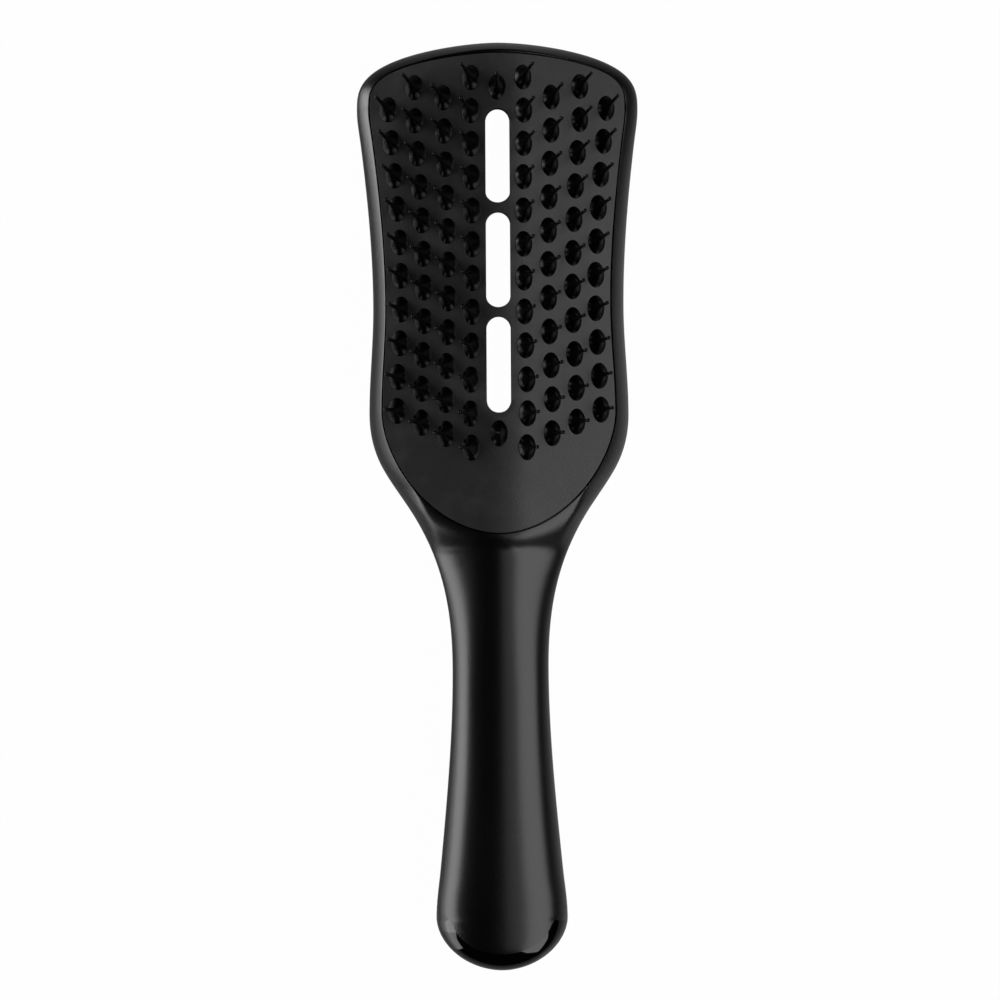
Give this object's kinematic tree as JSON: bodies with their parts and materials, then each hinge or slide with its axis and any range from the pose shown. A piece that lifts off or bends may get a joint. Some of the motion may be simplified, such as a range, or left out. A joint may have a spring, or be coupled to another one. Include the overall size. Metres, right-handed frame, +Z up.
{
  "type": "vent brush",
  "caption": "Vented hair brush with a waisted head, a curved pad of soft bristles, a row of through vents and a slim swelling handle.",
  "frame": {"origin": "middle of the length and width, on the surface that the brush lies on", "axes": "+X across the head, +Y along the brush towards the head's tip, +Z up out of the bristles, with the brush on its back"},
  "size_m": [0.0746, 0.245, 0.0345],
  "materials": {
    "satin_shell": "satin black moulded plastic with a fine grain",
    "gloss_shell": "gloss black moulded plastic",
    "pad": "soft satin black moulding"
  },
  "bodies": {
    "root": {"front_frame": "satin_shell", "rear_shell": "gloss_shell", "bristle_pad": "pad"}
  },
  "joints": []
}
